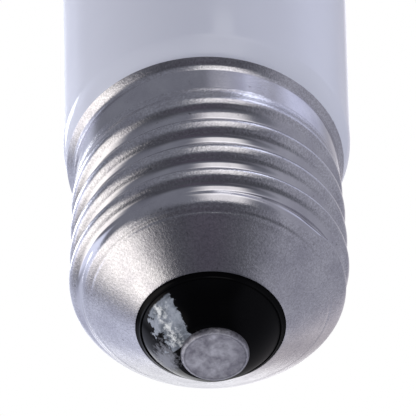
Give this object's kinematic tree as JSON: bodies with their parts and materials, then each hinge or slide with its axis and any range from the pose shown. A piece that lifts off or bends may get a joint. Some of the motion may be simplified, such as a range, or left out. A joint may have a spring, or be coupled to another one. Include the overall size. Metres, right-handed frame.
{
  "type": "halogen modeling bulb",
  "caption": "Frosted tubular halogen bulb with a rolled Edison screw cap, black glass insulator and soldered centre contact, used as the modelling light of a studio flash.",
  "frame": {"origin": "on the lamp's axis, at the level of the centre contact's face", "axes": "+Z along the axis from the contact to the tip of the glass, -Y the side seen in front in the picture, +X to the right of that side"},
  "size_m": [0.032, 0.032, 0.105],
  "materials": {
    "shell_aluminium": "bright rolled sheet, orange-peel texture on the stretched crests",
    "vitrite": "glossy black glass",
    "plate_brass": "plain stamped brass",
    "solder": "dull flattened solder",
    "frosted_glass": "frosted inside, glossy outside",
    "cement": "matt baked cement",
    "lead_wire": "drawn wire"
  },
  "bodies": {
    "root": {"screw_shell": "shell_aluminium", "insulator": "vitrite", "contact_plate": "plate_brass", "centre_contact": "solder", "glass_envelope": "frosted_glass", "capping_cement": "cement", "centre_lead": "lead_wire", "side_lead": "lead_wire"}
  },
  "joints": []
}
